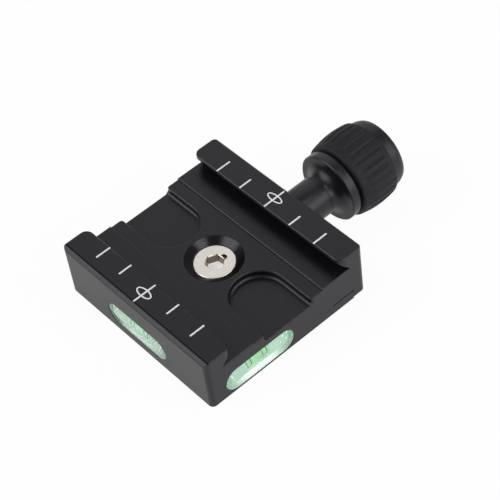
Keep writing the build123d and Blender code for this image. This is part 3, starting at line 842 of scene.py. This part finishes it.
class CLAMP_OT_vials(bpy.types.Operator):
    """Glaze the two bubble vials: block, liquid, bubble and graduation lines"""
    bl_idname = "clamp.vials"
    bl_label = "Vials"

    def execute(self, context):
        """The block is laid out along the vial, up, and out of its face, and the tube in circles round it."""
        sizes = context.scene.clamp_vials
        acrylic = clear_acrylic("clear_acrylic")
        liquid = glowing("green_liquid", sizes.liquid, sizes.painted_glow)
        black = paint("line_black", (0.03, 0.05, 0.035, 1))
        # Painted glints: small white shining ellipsoids at the tube's ends.
        glint = glowing("bead_white", (0.95, 1.0, 0.96, 1), 0.5)
        dress(paint("white_pad", (0.82, 0.84, 0.82, 1)), "side_vial_pad", "end_vial_pad")
        starts = (-sizes.line_gap / MM, sizes.line_gap / MM - 0.1)
        # Axes along the vial and out of its face, frosting's streaks and painted glowing, bubble's colour and
        # painted glowing
        vials = {
            "side": (Y, -X, (1.0, 0.2, 1.0), 1.3, sizes.side_bubble, 1.3),
            "end": (X, -Y, (0.2, 1.0, 1.0), 2.9, sizes.end_bubble, 1.2),
        }
        # Place along the tube, angle in degrees and radius of each painted glint
        spots = [(-8.35, 62, 0.24), (-8.0, 30, 0.2), (-7.75, 4, 0.16), (-7.3, -24, 0.13),
                 (7.15, 42, 0.2), (7.85, 14, 0.16), (8.5, 48, 0.18), (6.2, 8, 0.12)]
        for name, (along, out, streaks, frost_glow, bubble_colour, bubble_glow) in vials.items():
            low, high = node_box(f"{name}_vial_block")
            centre, tube_centre = (low + high) / 2, sum(node_box(f"{name}_vial_liquid")) / 2
            tube_centre = np.where(along, centre, tube_centre)

            def block_place(u, v, w):
                return centre + u[..., None] * along + v[..., None] * Z + w[..., None] * out

            def tube_place(distance, radius, angle):
                return circles(distance, radius, angle, along, out, Z, tube_centre)

            half, depth = ((high - low) @ along) / 2, abs((high - low) @ out) / 2
            radius = (high[2] - low[2]) / 2
            # Painted light: the frosted tray and the bubble shine with their own colour.
            frosted = glowing(f"frosted_acrylic_{name}", (0.93, 0.97, 0.95, 1), sizes.painted_glow * frost_glow, 0.5,
                              streaks, list(centre * MM))
            light = glowing(f"bubble_light_{name}", bubble_colour, sizes.painted_glow * bubble_glow)
            first, last = -8.7, 8.9
            corners = [(first, 0), (first, TUBE_RADIUS), (last, TUBE_RADIUS), (last, 0)]
            tube = rounded(corners, [0, 1.5, 1.2, 0], 8)
            parts = {
                "window": ([self.block(block_place, half, radius, depth)], acrylic, "clear_acrylic",
                           [f"{name}_vial_block", f"{name}_vial_plug"], 40.0),
                "frosting": ([self.frosting(block_place, half, radius, depth)], frosted, "clear_acrylic"),
                "tube": ([turned(tube, 64, tube_place)], liquid, "vial_liquid", [f"{name}_vial_liquid"]),
                "lines": ([self.hook(tube_place, start) for start in starts], black, "vial_liquid"),
                "beads": ([self.painted_glint(tube_place, *spot) for spot in spots], glint, "vial_liquid"),
                "bubble": ([self.bubble(tube_place, sizes.bubble_length / MM)], light, "vial_liquid"),
            }
            for part, (surfaces, finish, slot, *rest) in parts.items():
                piece(f"{name}_vial_{part}", surfaces, finish, "base", slot, *rest)
        return {"FINISHED"}

    def slot_shell(self, place, half, radius, insets, levels):
        """Rings shaped like a slot, half circles at both ends, each drawn in by its inset at its level."""
        end = np.linspace(-pi / 2, pi / 2, 25)
        turn = np.concatenate((end, end + pi))
        shift = np.repeat([half - radius, radius - half], len(end))
        inset, level = np.array(insets)[:, None], np.array(levels)[:, None]
        u = shift + (radius - inset) * np.cos(turn)
        v = (radius - inset) * np.sin(turn)
        poles = [place(np.zeros(1), np.zeros(1), level[k])[0] for k in (0, -1)]
        return shell(place(u, v, level + 0 * u), poles=poles)

    def block(self, place, half, radius, depth):
        """Slot-shaped block with rounded edges round its two faces."""
        return self.slot_shell(place, half, radius, [0.12, 0.035, 0.0, 0.0, 0.035, 0.12], [
            -depth, -depth + 0.035, -depth + 0.12, depth - 0.12, depth - 0.035, depth])

    def frosting(self, place, half, radius, depth):
        """Ground back and side of the block: a thin tray just inside them, open towards its front."""
        return self.slot_shell(place, half, radius, [0.3, 0.03, 0.03, 0.09, 0.1, 0.35], [
            -depth + 0.06, -depth + 0.25, depth - 0.14, depth - 0.14, -depth + 0.3, -depth + 0.1])

    def hook(self, place, start):
        """Graduation line as it shows in the liquid: a fine wire down round the tube and up again beside it.

        Its angle on the tube falls and rises as a power of a sine, and it moves along the tube in between.
        """
        share = np.linspace(0, 1, 41)[:, None]
        section = np.linspace(0, tau, 8, endpoint=False)[None, :]
        angle = radians(100) - radians(92) * np.sin(pi * share) ** 0.7
        along = start - 1.25 * smooth_step(share, 0.3, 0.7)
        wire, radius = 0.085 - 0.03 * share, TUBE_RADIUS + 0.06
        grid = place(along + wire * np.cos(section), radius + wire * 0.5 * np.sin(section), angle)
        return shell(grid, poles=[place(along[k], radius, angle[k])[0] for k in (0, -1)])

    def painted_glint(self, place, along, degrees, radius):
        """Painted glint at the tube's sealed ends: a small white shining ellipsoid on its side."""
        turn = np.linspace(0, pi, 11)[1:-1, None]
        around = np.linspace(0, tau, 14, endpoint=False)[None, :]
        spot, reach = radians(degrees), radius * np.sin(turn)
        grid = place(along + radius * np.cos(turn), TUBE_RADIUS + 0.4 * reach * np.cos(around),
                     spot + 0.6 * reach * np.sin(around))
        return shell(grid, poles=[place(along + end, TUBE_RADIUS, spot) for end in (radius, -radius)])

    def bubble(self, place, size):
        """Bubble as it shows through the tube's side: a thin lens on the tube, its outline a superellipse."""
        turn = np.linspace(0, pi, 33)[1:-1, None]
        around = np.linspace(0, tau, 24, endpoint=False)[None, :]
        reach, middle, half_width, thickness = np.sin(turn) ** 0.6, radians(47), radians(43), 0.05
        grid = place(-size / 2 * np.cos(turn), TUBE_RADIUS + thickness * reach * np.sin(around),
                     middle + half_width * reach * np.cos(around))
        return shell(grid, poles=[place(end, TUBE_RADIUS, middle) for end in (-size / 2, size / 2)])


class CLAMP_OT_stage(bpy.types.Operator):
    """Set the camera at the photographed angle over a plain pale floor with soft lamps"""
    bl_idname = "clamp.stage"
    bl_label = "Stage"

    def execute(self, context):
        sizes = context.scene.clamp_stage
        self.set_camera(context)
        self.lay_floor(sizes.floor_radius)
        self.light(context, sizes.sky, sizes.lamps)
        context.scene.view_settings.view_transform = "Standard"
        return {"FINISHED"}

    def set_camera(self, context):
        """Camera that shows the clamp as photographed: its directions, its place in metres and its lens."""
        camera = bpy.data.objects.new("camera", bpy.data.cameras.new("camera"))
        context.collection.objects.link(camera)
        right = np.array((0.73921919, -0.66625406, -0.09828797))
        down = np.array((-0.55357756, -0.51800418, -0.65209168))
        forward = np.array((0.38354515, 0.53644869, -0.75174192))
        place = np.array((-0.14896523827, -0.22274005615, 0.31680248713))
        camera.matrix_world = Matrix([*np.column_stack((right, -down, -forward, place)), (0, 0, 0, 1)])
        camera.data.lens = 128.92
        camera.data.sensor_width = 36.0
        camera.data.clip_start, camera.data.clip_end = 0.01, 20.0
        context.scene.camera = camera

    def lay_floor(self, radius):
        """Disc of rings, tilted so that it lies under the body's outer base edge and the grip's barrel."""
        grip_below_base, grip_from_edge, thickness = 4.65, 67.3, 2.0
        slope = np.arctan2(grip_below_base, grip_from_edge)
        down_slope, up = cos(slope) * X - sin(slope) * Z, sin(slope) * X + cos(slope) * Z
        edge = np.array([OUTER_X + 0.2, 0.0, -0.02])
        height = np.array([0, 0, 0, 0, 0, -thickness])[:, None]
        distance = radius / MM * np.array([0.01, 0.05, 0.2, 0.5, 1.0, 1.0])[:, None]
        angle = np.linspace(0, tau, 96, endpoint=False)
        grid = circles(height, distance, angle, up, down_slope, Y, edge)
        disc = shell(grid, poles=[edge, edge - thickness * up])
        piece("floor", [disc], floor_white("floor_white"), None, "floor")

    def light(self, context, sky, lamps):
        """Even light from all round, and softboxes that face the clamp from a fixed distance."""
        world = bpy.data.worlds.new("studio")
        world.use_nodes = True
        background = world.node_tree.nodes["Background"]
        background.inputs["Color"].default_value = grey(1.0)
        background.inputs["Strength"].default_value = sky
        context.scene.world = world
        far = 1.1
        # Azimuth and elevation in degrees, width and height in metres, and brightness
        softboxes = {
            "back": (48, 34, 0.8, 1.2, 0.67),
            "left": (149, 37, 0.86, 1.25, 2.6),
            "right": (-68, 25, 1.65, 0.76, 2.25),
            "high": (-62, 65, 0.42, 0.42, 2.7),
        }
        for name, (azimuth, elevation, width, height, brightness) in softboxes.items():
            data = bpy.data.lights.new(f"softbox_{name}", "AREA")
            data.shape = "RECTANGLE"
            data.size, data.size_y = width, height
            data.energy = lamps * brightness * pi * width * height
            lamp = bpy.data.objects.new(f"softbox_{name}", data)
            context.collection.objects.link(lamp)
            around, rise = radians(azimuth), radians(elevation)
            lamp.location = far * np.array((cos(rise) * cos(around), cos(rise) * sin(around), sin(rise)))
            lamp.rotation_mode = "QUATERNION"
            lamp.rotation_quaternion = lamp.location.to_track_quat("Z", "Y")


OPERATORS = (CLAMP_OT_stage, CLAMP_OT_plates, CLAMP_OT_knob, CLAMP_OT_bush, CLAMP_OT_stud, CLAMP_OT_springs,
             CLAMP_OT_marks, CLAMP_OT_vials)


class CLAMP_PT_panel(bpy.types.Panel):
    """Lists the clamp's pieces and their sizes"""
    bl_label = "Quick Release Clamp"
    bl_idname = "CLAMP_PT_panel"
    bl_space_type = "VIEW_3D"
    bl_region_type = "UI"
    bl_category = "Clamp"

    def draw(self, context):
        for name, group in GROUPS.items():
            box = self.layout.box()
            for field in group.__annotations__:
                box.prop(getattr(context.scene, name), field)
        for operator in OPERATORS:
            self.layout.operator(operator.bl_idname)


CLASSES = (*GROUPS.values(), *OPERATORS, CLAMP_PT_panel)


def register():
    for item in CLASSES:
        bpy.utils.register_class(item)
    for name, group in GROUPS.items():
        setattr(bpy.types.Scene, name, PointerProperty(type=group))


def unregister():
    for name in GROUPS:
        delattr(bpy.types.Scene, name)
    for item in reversed(CLASSES):
        bpy.utils.unregister_class(item)


def main():
    """Register the tools and make every piece in order."""
    register()
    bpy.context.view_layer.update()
    for tool in ("stage", "plates", "knob", "bush", "stud", "springs", "marks", "vials"):
        getattr(bpy.ops.clamp, tool)()


if __name__ == "__main__":
    main()
